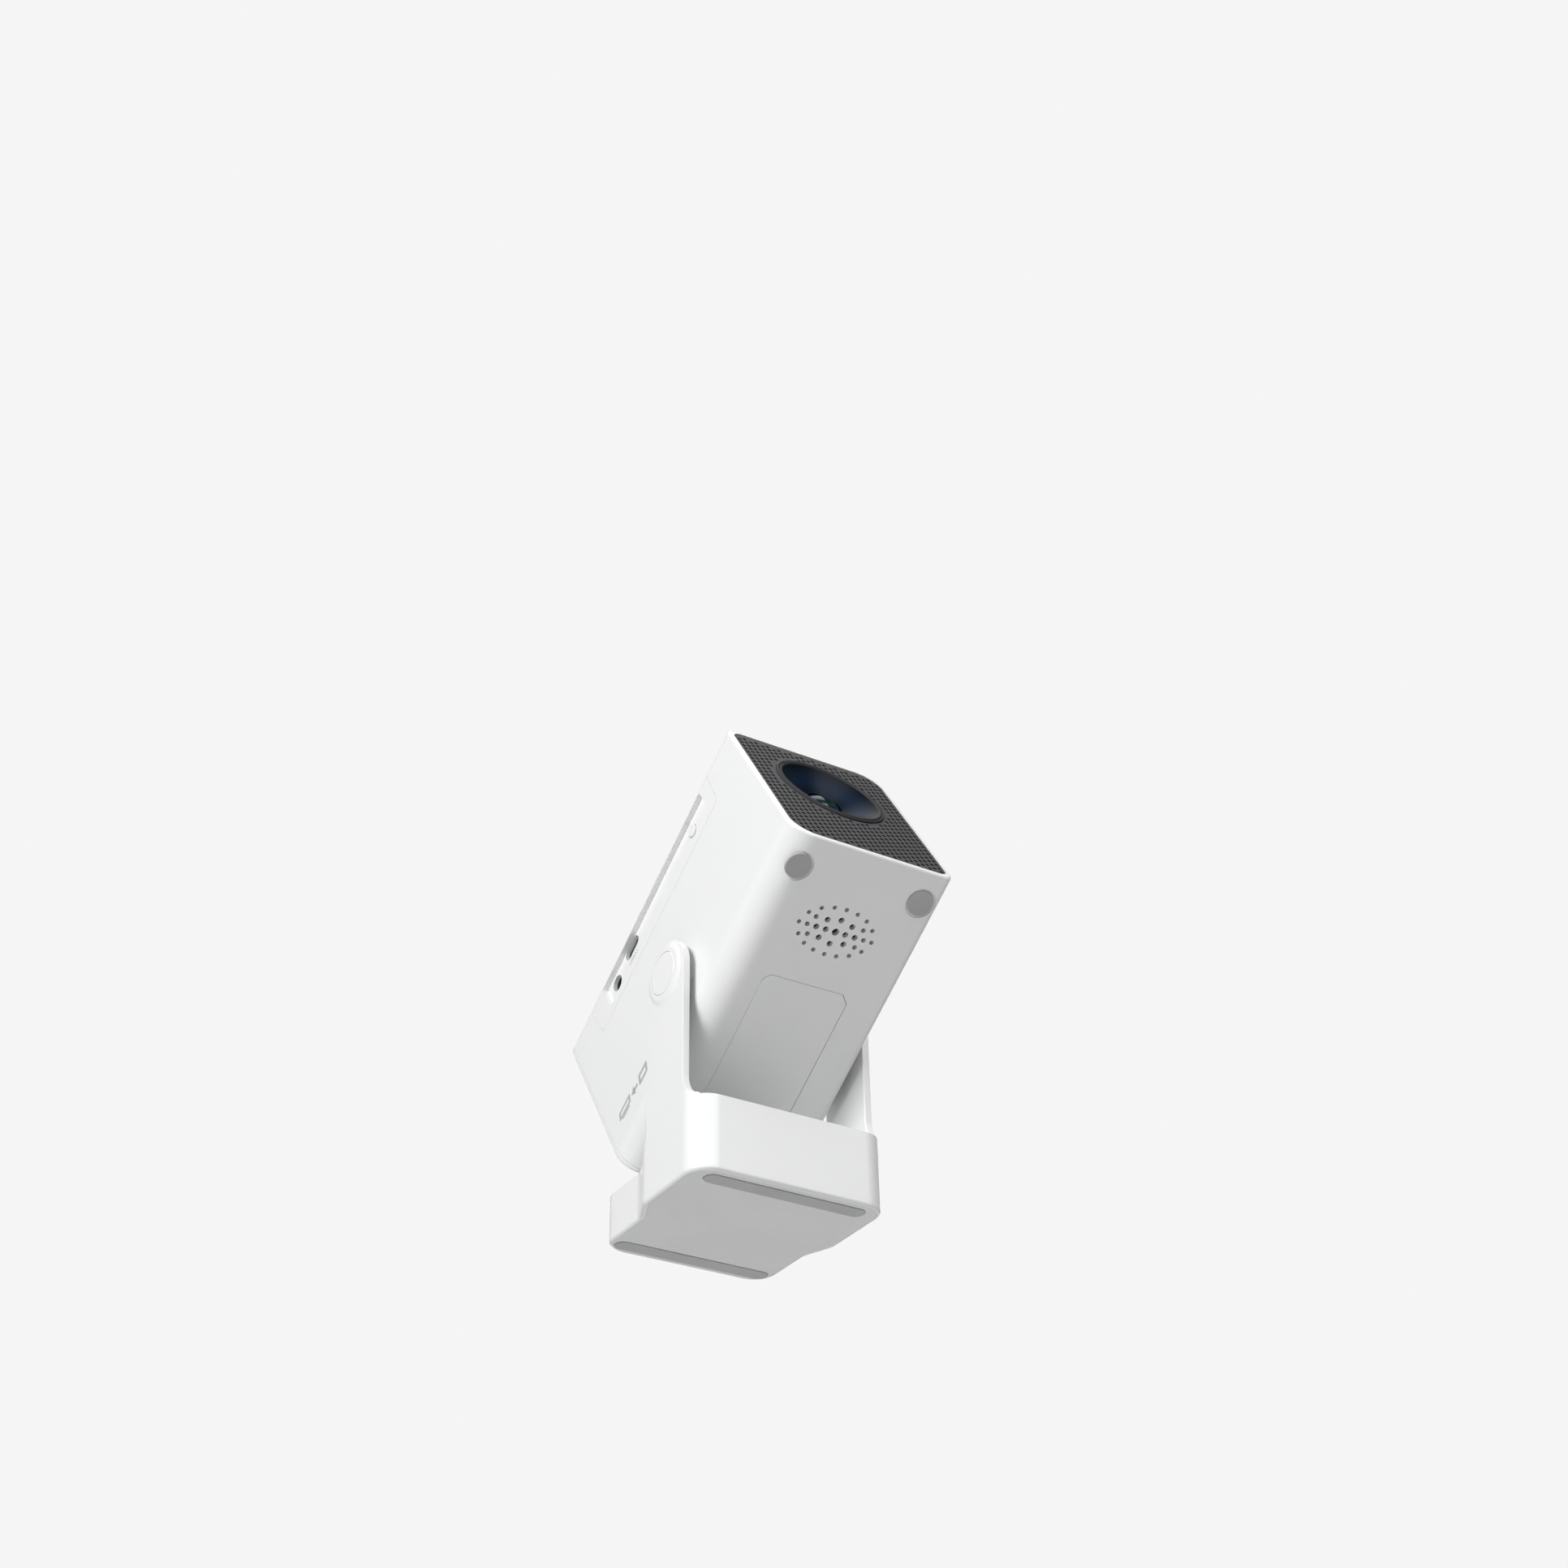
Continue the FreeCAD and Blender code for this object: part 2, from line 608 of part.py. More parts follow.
def speaker_holes():
    """(x offset, y offset, radius) of every hole in the loudspeaker's grille."""
    holes = [(0.0, 0.0, 1.5), (0.0, 5.15, 1.2), (0.0, -5.15, 1.2), (0.0, 9.8, 0.9), (0.0, -9.8, 0.9)]
    for x in (-1, 1):
        holes += [(4.3 * x, 0.0, 1.2), (8.5 * x, 0.0, 1.2), (12.4 * x, 0.0, 1.0), (16.0 * x, 0.0, 0.9)]
        for y in (-1, 1):
            holes += [(5.45 * x, 3.9 * y, 1.2), (10.45 * x, 3.8 * y, 1.0), (14.0 * x, 4.7 * y, 0.9),
                      (9.95 * x, 7.7 * y, 0.9), (5.1 * x, 9.3 * y, 0.9)]
    return holes


def make_main_housing():
    """The head's one-piece sleeve with its front rim, openings and screw posts."""
    shell = Piece("main_housing", (0, 0))
    end = cover_front - dim.seam
    shell.add("XZ", front, end - front, lambda draw: leaf(draw, 0))
    shell.fillet(dim.rim_rounding, lambda edge: flat_on(edge, "y", front))
    shell.cut("XZ", front - 0.5, GRILLE_SEAT + 0.5,
              lambda draw: leaf(draw, dim.grille_inset, dim.grille_corner))
    ledge_end = front + GRILLE_SEAT + LEDGE_DEPTH
    shell.cut("XZ", front, GRILLE_SEAT + LEDGE_DEPTH, lambda draw: leaf(draw, dim.wall + LEDGE_WIDTH))
    shell.cut("XZ", ledge_end, end - ledge_end, lambda draw: leaf(draw, dim.wall))
    for x, z in HEAD_SCREWS:
        shell.add("XZ", 55.0, end - 55.0, lambda draw: draw.disc(x, z, 3.0))
        shell.cut("XZ", end - 9.0, 9.0, lambda draw: draw.disc(x, z, 1.3))

    wall_cut = dim.wall + 1
    shell.cut("YZ", -half_head - 1, wall_cut + dim.seam, lambda draw: panel_outline(draw, dim.seam.value))
    shell.cut("YZ", -half_head - 1, half_head + 1 + TRAY_BACK + 0.15,
              lambda draw: draw.block(TRAY[0] - 0.2, TRAY[1] + 0.2, TRAY[2] - 0.2, TRAY[3] + 0.15))
    hole = dim.journal + 0.1
    shell.cut("YZ", -half_head - 1, half_head * 2 + 2, lambda draw: draw.disc(0, 0, hole))
    shell.cut("XY", under - 1, 1 + COVER_SEAT, lambda draw: cover_outline(draw, dim.seam.value))
    shell.cut("XY", under - 1, dim.wall + 1, lambda draw: cover_outline(draw, -COVER_STEP))
    for radius in sorted({hole[2] for hole in speaker_holes()}):
        shell.cut("XY", under - 1, dim.wall + 1, lambda draw: [
            draw.disc(x, SPEAKER_Y + y, radius) for x, y, size in speaker_holes() if size == radius])
    shell.cut("XY", under - 1, 1.5, lambda draw: [
        draw.disc(x, FOOT_Y, dim.foot_radius + 0.9) for x in (-FOOT_X, FOOT_X)])


def make_front_grille():
    """The perforated front: staggered round holes that stop short of the edge and the lens."""
    grille = Piece("front_grille", (0, 0))
    grille.add("XZ", grille_face, dim.grille_thickness,
               lambda draw: leaf(draw, dim.grille_inset + 0.1, dim.grille_corner - 0.1))
    grille.fillet(0.3, lambda edge: flat_on(edge, "y", grille_face))
    grille.cut("XZ", grille_face, dim.grille_thickness, lambda draw: draw.disc(0, dim.lens_z, 23.4))

    def holes(draw):
        centre = FreeCAD.Vector(0, 0, 1)
        column = dim.grille_column.value
        pitch = dim.grille_pitch.value
        clear = 24.9
        for step in range(-12, 13):
            x = step * column
            lift = pitch / 2 if step % 2 else 0.0
            for row in range(30):
                z = under.value + 4.4 + lift + row * pitch
                if z > lid.value - 4.0 or math.hypot(x, z - dim.lens_z.value) < clear:
                    continue
                if not inside_leaf(x, z, 3.3):
                    continue
                spot = FreeCAD.Vector(x, z, 0)
                draw.sketch.addGeometry(Part.Circle(spot, centre, dim.grille_hole.value))

    grille.cut("XZ", grille_face, dim.grille_thickness, holes)


def make_dust_mesh():
    """The dark cloth between the grille and its seat."""
    cloth = Piece("dust_mesh", (0, 0))
    start = grille_face + dim.grille_thickness + 0.05
    cloth.add("XZ", start, MESH_THICKNESS,
              lambda draw: leaf(draw, dim.grille_inset + 0.2, dim.grille_corner - 0.2))
    cloth.cut("XZ", start, MESH_THICKNESS, lambda draw: draw.disc(0, dim.lens_z, 25.1))


def inside_leaf(x, z, margin):
    """True if a point is at least margin inside the head's cross-section."""
    half = half_head.value
    bottom, top = under.value, lid.value
    if abs(x) > half - margin or not bottom + margin < z < top - margin:
        return False
    radius = dim.large_edge.value
    for corner_x, corner_z in ((-half + radius, bottom + radius), (half - radius, top - radius)):
        beyond_x = (x - corner_x) * (1 if corner_x > 0 else -1)
        beyond_z = (z - corner_z) * (1 if corner_z > 0 else -1)
        if beyond_x > 0 and beyond_z > 0 and math.hypot(beyond_x, beyond_z) > radius - margin:
            return False
    return True


def make_lens_surround():
    """A double lip round a shallow cone that leads to the lens."""
    hood = Piece("lens_hood_ring", (0, 0))
    face = grille_face
    floor = front + dim.dish_depth
    back = face + dim.grille_thickness + 0.1
    opening = dim.dish_opening
    hood.turn("YZ", [
        (back + 1.4, 24.8), (back, 24.8), (back, 23.2), (face - 0.5, 23.2), (face - 0.75, 22.95),
        (face - 0.75, 22.6), (face - 0.35, 22.3), (face - 0.35, 22.0), (face - 0.9, 21.7),
        (face - 0.9, 21.3), (face - 0.3, dim.dish_radius), (floor - 0.2, opening + 1.2),
        (floor, opening + 0.6), (floor, opening), (floor + 1.6, opening), (floor + 1.6, opening + 1.2),
        (back + 1.4, 19.5),
    ], up=dim.lens_z)


def make_port_panel():
    """The side panel with its long recess, a raised lip behind it and three openings."""
    panel = Piece("port_panel", (0, 0))
    panel.add("YZ", -half_head, dim.wall, lambda draw: panel_outline(draw, 0.0))
    edge_x, edge_z = -half_head + dim.small_edge, lid - dim.small_edge
    panel.cut("XZ", -65.0, 120.0, lambda draw: draw.path([
        (-half_head, edge_z), (edge_x, lid, -dim.small_edge), (edge_x, lid + 1),
        (-half_head - 1, lid + 1), (-half_head - 1, edge_z)]))
    panel.add("YZ", -inner_half - 0.2, inner_half + 0.2 + TRAY_BACK, lambda draw: draw.block(*TRAY))
    low, high = RECESS[0], RECESS[1]
    panel.cut("YZ", -half_head - 0.5, dim.recess_depth + 0.5,
              lambda draw: draw.rounded(low, high, RECESS[2], RECESS[3], (1.0, 1.0, 1.0, 1.0)))
    button_hole = dim.button_radius + 0.15
    through = 4.0
    panel.cut("YZ", -half_head, through + 1, lambda draw: draw.disc(*BUTTON, button_hole))
    panel.cut("YZ", -half_head, through + 1, lambda draw: draw.slot(*USB_SLOT, 11.4, 5.2))
    panel.cut("YZ", -half_head, through + 1, lambda draw: draw.disc(*DC_HOLE, 3.45))
    button = Piece("power_button", (0, 0))
    floor = -half_head + dim.recess_depth
    button.turn("XY", [(floor - dim.button_proud, 0), (floor - dim.button_proud, dim.button_radius - 0.4),
                       (floor - dim.button_proud + 0.4, dim.button_radius),
                       (as_size(TRAY_BACK + 0.1), dim.button_radius), (as_size(TRAY_BACK + 0.1), 3.6),
                       (as_size(TRAY_BACK + 0.7), 3.6), (as_size(TRAY_BACK + 0.7), 0)],
                level=BUTTON[1], up=BUTTON[0])


def make_rear_cover():
    """The rear plate: fan slots, a video opening and countersunk screw holes."""
    cover = Piece("rear_cover", (0, 0))
    cover.add("XZ", cover_front, dim.wall, lambda draw: leaf(draw, 0))
    cover.fillet(dim.rim_rounding, lambda edge: flat_on(edge, "y", rear))
    reach = 23.0
    pitch = 3.8
    cover.cut("XZ", cover_front, dim.wall, lambda draw: [
        draw.slot(0, dim.lens_z + row * pitch, 2 * math.sqrt(reach * reach - (row * pitch) ** 2), 1.9)
        for row in range(-5, 6)])
    cover.cut("XZ", cover_front, dim.wall,
              lambda draw: draw.rounded(VIDEO_X - 8, VIDEO_X + 8, -19.2, -11.5, (1.5, 1.5, 1.5, 1.5)))
    for x, z in HEAD_SCREWS:
        cover.cut("XZ", cover_front, dim.wall, lambda draw: draw.disc(x, z, 1.7))
        cover.cut("XZ", rear - 1.2, 1.2, lambda draw: draw.disc(x, z, 2.5))
    spots = [(x, rear.value - 1.15, z) for x, z in HEAD_SCREWS]
    screws("rear_cover_screws", spots, (0, -1, 0), 1.25, 8.0, 2.2, 0.8)


def make_underside_parts():
    """Access cover and the two round rubber feet."""
    cover = Piece("bottom_access_cover", (0, 0))
    cover.add("XY", under, COVER_SEAT - 0.1, lambda draw: cover_outline(draw, 0.0))
    cover.fillet(0.3, lambda edge: flat_on(edge, "z", under))
    for name, x in (("left_front_foot", -FOOT_X), ("right_front_foot", FOOT_X)):
        foot = Piece(name, (0, 0))
        foot.add("XY", under - 0.5, 0.95, lambda draw: draw.disc(x, FOOT_Y, dim.foot_radius))
        foot.fillet(0.35, lambda edge: flat_on(edge, "z", under - 0.5))


# ---------------------------------------------------------------- inside the head

def dome(radius, rise):
    """Radius of the sphere whose cap has that rim radius and that rise."""
    return (radius * radius + rise * rise) / (2 * rise)


def make_optics():
    """Light box, light source, lenses and panel along the optical axis."""
    axis = dim.lens_z
    low, high = axis - TUNNEL_RISE, axis + TUNNEL_RISE
    half = TUNNEL_HALF
    tunnel = Piece("optical_tunnel", (0, 0))
    length = TUNNEL_REAR - TUNNEL_FRONT
    tunnel.add("XZ", TUNNEL_FRONT, length, lambda draw: draw.block(-half, half, low, high))
    shell = 1.6
    tunnel.cut("XZ", TUNNEL_FRONT, length,
               lambda draw: draw.block(-half + shell, half - shell, low + shell, high - shell))
    for x, z in ENGINE_SCREWS:
        tunnel.add("XZ", TUNNEL_FRONT, 8.0,
                   lambda draw: draw.block(x - 2.1, x + 2.1, axis + z - 2.1, axis + z + 2.1))
        tunnel.cut("XZ", TUNNEL_FRONT, 8.0, lambda draw: draw.disc(x, axis + z, 1.15))
    clear = 1.75
    panes = (("collimating_fresnel", 14.5, 1.5), ("lcd_panel", 9.0, 1.8), ("field_fresnel", 4.0, 1.5))
    for name, y, thickness in panes:
        pane = Piece(name, (0, 0))
        pane.add("XZ", y, thickness,
                 lambda draw: draw.block(-half + clear, half - clear, low + clear, high - clear))
    led = Piece("led_module", (0, 0))
    led.add("XZ", 36.1, 2.4, lambda draw: draw.block(-24, 24, axis - 20, axis + 20))
    led.add("XZ", 34.3, 1.9, lambda draw: draw.block(-7, 7, axis - 7, axis + 7))
    condenser = Piece("condenser_lens", (0, 0))
    condenser.turn("YZ", [(32.0, 0), (32.0, 19.0), (30.5, 19.0), (24.5, 0, dome(19.0, 6.0))], up=axis)
    sink = Piece("led_heatsink", (0, 0))
    sink.add("XZ", 38.6, 3.4, lambda draw: draw.block(-29, 29, axis - 22, axis + 22))
    fin = sink.add("XZ", 41.9, 15.0, lambda draw: draw.block(-29, -28, axis - 22, axis + 22))
    sink.repeat_along(fin, "X_Axis", 57.0, 15)
    frame = Piece("fan_frame", (0, 0))
    frame.add("XZ", FAN_FRONT, 9.8, lambda draw: draw.rounded(-25, 25, axis - 25, axis + 25, (2, 2, 2, 2)))
    frame.cut("XZ", FAN_FRONT, 9.8, lambda draw: draw.disc(0, axis, 23.6))
    frame.add("XZ", FAN_FRONT, 1.5, lambda draw: draw.disc(0, axis, 11.0))
    frame.add("XZ", FAN_FRONT, 1.5, lambda draw: draw.block(-24.3, 24.3, axis - 1.5, axis + 1.5))
    frame.add("XZ", FAN_FRONT, 1.5, lambda draw: draw.block(-1.5, 1.5, axis - 24.3, axis + 24.3))
    rotor = Piece("fan_rotor", (FAN_FRONT, axis))
    rotor.turn("YZ", [(1.8, 0), (1.8, 11.5), (8.7, 11.5), (9.2, 11.0), (9.2, 0)])
    blade = rotor.add("XY", 10.5, 12.1, lambda draw: draw.path([
        (-4.2, 2.2), (-3.2, 2.2), (4.2, 8.2), (3.2, 8.2)]))
    rotor.repeat_round(blade, 7)


def gear(piece, teeth, start, width):
    """Teeth round a blank: flat-sided, standard height, a little play between pairs."""
    module = dim.gear_module.value
    pitch_radius = module * teeth / 2
    root = pitch_radius - 1.25 * module
    tip = pitch_radius + 0.95 * module
    quarter = math.pi * module / 4 - 0.12
    slope = math.tan(math.radians(20))
    foot = quarter + (pitch_radius - root) * slope
    crown = quarter - (tip - pitch_radius) * slope
    inner = root - 0.4
    tooth = piece.add("XZ", start, width, lambda draw: draw.path([
        (-foot, inner), (foot, inner), (foot, root), (crown, tip), (-crown, tip), (-foot, root)]))
    piece.repeat_round(tooth, teeth)
    return root


def make_focus():
    """Lens mount, sliding cell, toothed ring, pinion and motor."""
    axis = dim.lens_z
    mount = Piece("lens_mount", (0, 0))
    bore = dim.cell_radius + 0.06
    mount.add("XZ", -26.1, 2.0, lambda draw: draw.block(-31, 31, axis - 21, axis + 21))
    mount.add("XZ", -50.0, 24.0, lambda draw: draw.disc(0, axis, 17.5))
    mount.cut("XZ", -50.0, 26.0, lambda draw: draw.disc(0, axis, bore))
    mount.cut("XZ", -26.1, 2.0, lambda draw: [
        draw.disc(x, axis + z, 1.25) for x, z in ENGINE_SCREWS])
    cell = Piece("lens_cell", (0, 0))
    barrel = -77.1
    cell.turn("YZ", [(-68.0, 8.6), (-70.0, 8.0), (barrel + 0.4, 8.0), (barrel, 7.7), (barrel, 7.3),
                     (barrel + 4.1, 7.3), (barrel + 4.1, 6.6), (-68.0, 7.2), (-62.0, 13.0), (-36.0, 13.0),
                     (-36.0, 14.5), (-30.0, 14.5), (-30.0, dim.cell_radius), (-60.0, dim.cell_radius)],
              up=axis)
    glass = Piece("front_lens_element", (0, 0))
    rim, bulge = barrel + 0.9, 2.7
    glass.turn("YZ", [(rim + 2.7, 0), (rim + 2.7, 7.2), (rim, 7.2), (rim - bulge, 0, dome(7.2, bulge))],
               up=axis)
    glass = Piece("rear_lens_element", (0, 0))
    glass.turn("YZ", [(-30.5, 0), (-30.5, 14.4), (-34.0, 14.4), (-38.5, 0, dome(14.4, 4.5))], up=axis)
    ring = Piece("focus_ring", (-46.0, axis))
    teeth = 50
    root = dim.gear_module.value * (teeth / 2 - 1.25)
    ring.add("XZ", 0, 6.0, lambda draw: draw.disc(0, 0, root))
    gear(ring, teeth, 0, 6.0)
    ring.cut("XZ", 0, 6.0, lambda draw: draw.disc(0, 0, 17.56))
    pinion_teeth = 12
    pinion = Piece("focus_pinion", (-46.0, axis))
    pinion.body.setExpression("Placement.Base.x", f"{PINION_X}")
    root = dim.gear_module.value * (pinion_teeth / 2 - 1.25)
    pinion.add("XZ", 0, 6.0, lambda draw: draw.disc(0, 0, root))
    gear(pinion, pinion_teeth, 0, 6.0)
    pinion.cut("XZ", 0, 6.0, lambda draw: draw.disc(0, 0, 1.05))
    motor = Piece("focus_motor", (0, 0))
    motor.add("XZ", -39.0, 12.8, lambda draw: draw.disc(PINION_X, axis, 5.0))
    motor.add("XZ", -45.5, 6.6, lambda draw: draw.disc(PINION_X, axis, 1.0))
    spots = [(x, -26.15, axis.value + z) for x, z in ENGINE_SCREWS]
    screws("engine_screws", spots, (0, 1, 0), 1.1, 8.0, 2.0, 1.0)


def make_electronics():
    """Boards, receptacles, switch and loudspeaker."""
    board = Piece("main_board", (0, 0))
    board.add("XY", BOARD_UNDER, 1.6, lambda draw: draw.block(-30, 30, -28, 54))
    board.add("XY", BOARD_UNDER + 1.5, 1.4, lambda draw: draw.block(-9, 9, 2, 20))
    board.add("XY", BOARD_UNDER + 1.5, 1.1, lambda draw: draw.block(13, 23, -12, 2))
    video = Piece("video_receptacle", (0, 0))
    video.add("XZ", 44.0, 25.6, lambda draw: draw.block(VIDEO_X - 7.5, VIDEO_X + 7.5, -18.6, -12.1))
    video.cut("XZ", 50.0, 20.0, lambda draw: draw.block(VIDEO_X - 7, VIDEO_X + 7, -18.1, -13.2))
    video.add("XZ", 49.0, 18.5, lambda draw: draw.block(VIDEO_X - 5.5, VIDEO_X + 5.5, -15.6, -14.6))
    speaker = Piece("speaker_driver", (0, 0))
    low = under + dim.wall + 0.15
    speaker.add("XY", low, 3.0, lambda draw: draw.disc(0, SPEAKER_Y, 18.0))
    speaker.add("XY", low + 2.9, 6.0, lambda draw: draw.disc(0, SPEAKER_Y, 11.0))
    ports = Piece("port_board", (0, 0))
    ports.add("XY", 50.3, 1.6, lambda draw: draw.block(-31.0, -12.0, 8.0, 44.0))
    ports.cut("XY", 50.3, 1.6, lambda draw: draw.block(-32.0, -18.5, 28.0, 37.6))
    usb = Piece("usb_c_receptacle", (0, 0))
    y, z = USB_SLOT
    usb.add("YZ", -31.4, 7.3, lambda draw: draw.slot(y, z, 8.94, 3.26))
    usb.cut("YZ", -31.4, 6.2, lambda draw: draw.slot(y, z, 8.34, 2.66))
    usb.add("YZ", -30.8, 6.0, lambda draw: draw.block(y - 3.3, y + 3.3, z - 0.35, z + 0.35))
    jack = Piece("dc_jack", (0, 0))
    y, z = DC_HOLE
    jack.add("YZ", -31.4, 12.0, lambda draw: draw.block(y - 4.5, y + 4.5, z - 4.5, z + 4.5))
    jack.cut("YZ", -31.4, 9.5, lambda draw: draw.disc(y, z, 2.85))
    jack.add("YZ", -30.6, 9.5, lambda draw: draw.disc(y, z, 1.05))
    switch = Piece("power_switch", (0, 0))
    y, z = BUTTON
    switch.add("YZ", -25.4, 1.5, lambda draw: draw.block(y - 6, y + 6, z - 5.8, z + 5.8))
    switch.add("YZ", -28.9, 3.6, lambda draw: draw.block(y - 3, y + 3, z - 3, z + 3))
    switch.add("YZ", -30.4, 1.6, lambda draw: draw.disc(y, z, 1.6))


make_stand_yoke()
make_stand_small_parts()
make_main_housing()
make_front_grille()
make_dust_mesh()
make_lens_surround()
make_port_panel()
make_rear_cover()
make_underside_parts()
make_optics()
make_focus()
make_electronics()
doc.recompute()

for thing in doc.Objects:
    if "Invalid" in thing.State or "Error" in thing.State:
        raise RuntimeError(f"{thing.Name} is broken")
os.makedirs("parts", exist_ok=True)
for thing in parts:
    shape = thing.Shape
    if shape.isNull() or not shape.isValid() or not shape.Solids:
        raise RuntimeError(f"{thing.Label} has no sound shape")
    shape.exportStep(f"parts/{thing.Label}.step")
print(len(parts), "parts")
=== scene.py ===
import json
import math
import bpy
import bmesh
from mathutils import Matrix, Vector


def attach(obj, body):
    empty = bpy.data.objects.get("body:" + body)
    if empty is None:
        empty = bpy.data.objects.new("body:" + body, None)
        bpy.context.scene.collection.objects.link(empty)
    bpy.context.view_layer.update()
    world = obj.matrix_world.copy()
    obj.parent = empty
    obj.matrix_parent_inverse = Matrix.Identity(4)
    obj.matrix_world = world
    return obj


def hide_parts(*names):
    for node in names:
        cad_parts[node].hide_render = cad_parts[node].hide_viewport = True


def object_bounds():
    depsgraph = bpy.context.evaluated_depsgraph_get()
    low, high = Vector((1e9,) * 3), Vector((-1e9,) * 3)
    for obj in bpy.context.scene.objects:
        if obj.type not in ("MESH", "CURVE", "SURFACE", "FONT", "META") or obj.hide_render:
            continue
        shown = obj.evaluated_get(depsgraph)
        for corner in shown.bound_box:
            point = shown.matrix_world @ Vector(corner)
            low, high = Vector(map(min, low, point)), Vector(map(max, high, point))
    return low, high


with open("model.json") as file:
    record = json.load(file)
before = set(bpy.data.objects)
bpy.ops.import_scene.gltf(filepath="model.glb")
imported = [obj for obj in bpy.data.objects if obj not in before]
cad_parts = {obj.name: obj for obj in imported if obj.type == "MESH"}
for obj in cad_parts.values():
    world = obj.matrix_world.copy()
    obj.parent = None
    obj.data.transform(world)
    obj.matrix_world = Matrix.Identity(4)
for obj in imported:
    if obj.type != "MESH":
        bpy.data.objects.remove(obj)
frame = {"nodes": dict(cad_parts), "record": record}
cad_low, cad_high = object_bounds()
NODES = frame["nodes"]
SLOT_OF = {part["node"]: part["material_slot"] for part in frame["record"]["subparts"]}

MM = 0.001
TILT = math.radians(33.0)
PIVOT = Vector((0, -17.6, 89.2)) * MM
HEAD = Matrix.Translation(PIVOT) @ Matrix.Rotation(-TILT, 4, "X")

# Places in the head's own frame, in millimetres.
FRONT = -82.2
LENS_Z = 25.0
LIP_RADIUS = 20.85
DISH_RADIUS = 21.0
GLASS_RADIUS = 7.4
RING_PITCH = 1.9
# Depths below the grille's face, in millimetres, over which its colour turns to painted shade in the holes.
PAINTED_SHADE_DEPTH = (0.32, 0.55)
SIDE = -35.5
RECESS_FLOOR = SIDE + 2.2
INK = 0.03

# Finishes.
THREADS_PER_METRE = 3600.0
BROAD_TONES = 32.5
UNEVEN_GLOSS = 86.7

# Rounding of the stand's arms: sizes in metres, faces' distances from the middle in millimetres.
WELD = 0.00001
FLUSH = 0.00002
SHARP = math.radians(35)
SMOOTH_BELOW = math.radians(30)
FLAT_WITHIN = math.radians(0.4)
ABOVE_BASE = 30.5
ARM_OUTER_FACE = (41.4, 41.6)
ARM_INNER_FACE = (38.3, 38.5)

# Studio.
FLOOR_LEVEL = -0.75
FLOOR_SIZE = 6.0
SEEN = 0.915
AMBIENT = 0.10
FAR_FLOOR = 0.15
SWEEP_START = -0.27
SWEEP_END = -0.05


def in_head(x, y, z):
    """A point given in millimetres in the head's own frame."""
    return HEAD @ (Vector((x, y, z)) * MM)


# ---------------------------------------------------------------- finishes

class Finish:
    """A procedural material: helpers to add and join nodes round one principled shader."""

    def __init__(self, name):
        self.material = bpy.data.materials.new(name)
        self.material.use_nodes = True
        self.tree = self.material.node_tree
        self.shader = self.tree.nodes["Principled BSDF"]
        self.place = self.tree.nodes.new("ShaderNodeTexCoord").outputs["Object"]

    def node(self, kind, **values):
        """A node with its sockets set: linked where the value is a socket."""
        made = self.tree.nodes.new(kind)
        for key, value in values.items():
            key = key.replace("_", " ")
            if isinstance(value, bpy.types.NodeSocket):
                self.tree.links.new(value, made.inputs[key])
            else:
                made.inputs[key].default_value = value
        return made

    def noise(self, scale, detail=3.0):
        """Noise at a number of cells per metre."""
        made = self.node("ShaderNodeTexNoise", Vector=self.place, Scale=scale, Detail=detail, Roughness=0.55)
        return made.outputs["Fac"]

    def in_head(self):
        """The place in the head's own frame, in metres, seen from the tilt axis."""
        turned = self.node("ShaderNodeMapping", Vector=self.place, Location=PIVOT, Rotation=(-TILT, 0, 0))
        turned.vector_type = "TEXTURE"
        return self.node("ShaderNodeSeparateXYZ", Vector=turned.outputs[0]).outputs

    def math(self, operation, first, second=0.0):
        """One arithmetic step."""
        made = self.tree.nodes.new("ShaderNodeMath")
        made.operation = operation
        for socket, value in enumerate((first, second)):
            if isinstance(value, bpy.types.NodeSocket):
                self.tree.links.new(value, made.inputs[socket])
            else:
                made.inputs[socket].default_value = value
        return made.outputs[0]

    def lens_radius(self):
        """Distance from the optical axis, in millimetres."""
        x, _, z = self.in_head()
        rise = self.math("SUBTRACT", z, LENS_Z * MM)
        square = self.math("ADD", self.math("MULTIPLY", x, x), self.math("MULTIPLY", rise, rise))
        return self.math("DIVIDE", self.math("SQRT", square), MM)

    def ramp(self, value, stops):
        """A colour ramp from (position, colour) stops."""
        made = self.node("ShaderNodeValToRGB", Fac=value)
        marks = made.color_ramp.elements
        while len(marks) < len(stops):
            marks.new(0.5)
        for mark, (position, colour) in zip(marks, stops):
            mark.position = position
            mark.color = (*colour, 1.0)
        return made.outputs["Color"]

    def spread(self, value, low, high, start=0.3, end=0.7):
        """Maps a value from start..end to low..high."""
        made = self.node("ShaderNodeMapRange", Value=value, From_Min=start, From_Max=end,
                         To_Min=low, To_Max=high)
        return made.outputs[0]

    def mix(self, amount, first, second):
        """Mixes two colours."""
        made = self.tree.nodes.new("ShaderNodeMix")
        made.data_type = "RGBA"
        for socket, value in ((0, amount), (6, first), (7, second)):
            if isinstance(value, bpy.types.NodeSocket):
                self.tree.links.new(value, made.inputs[socket])
            else:
                made.inputs[socket].default_value = value if socket == 0 else (*value, 1.0)
        return made.outputs[2]

    def bump(self, height, strength, distance):
        """Bumps the shader's normal."""
        made = self.node("ShaderNodeBump", Height=height, Strength=strength, Distance=distance)
        old = self.shader.inputs["Normal"]
        if old.is_linked:
            self.tree.links.new(old.links[0].from_socket, made.inputs["Normal"])
        self.tree.links.new(made.outputs[0], old)

    def set(self, **values):
        """Sets or links the principled shader's sockets."""
        for key, value in values.items():
            key = key.replace("_", " ")
            if isinstance(value, bpy.types.NodeSocket):
                self.tree.links.new(value, self.shader.inputs[key])
            else:
                self.shader.inputs[key].default_value = value


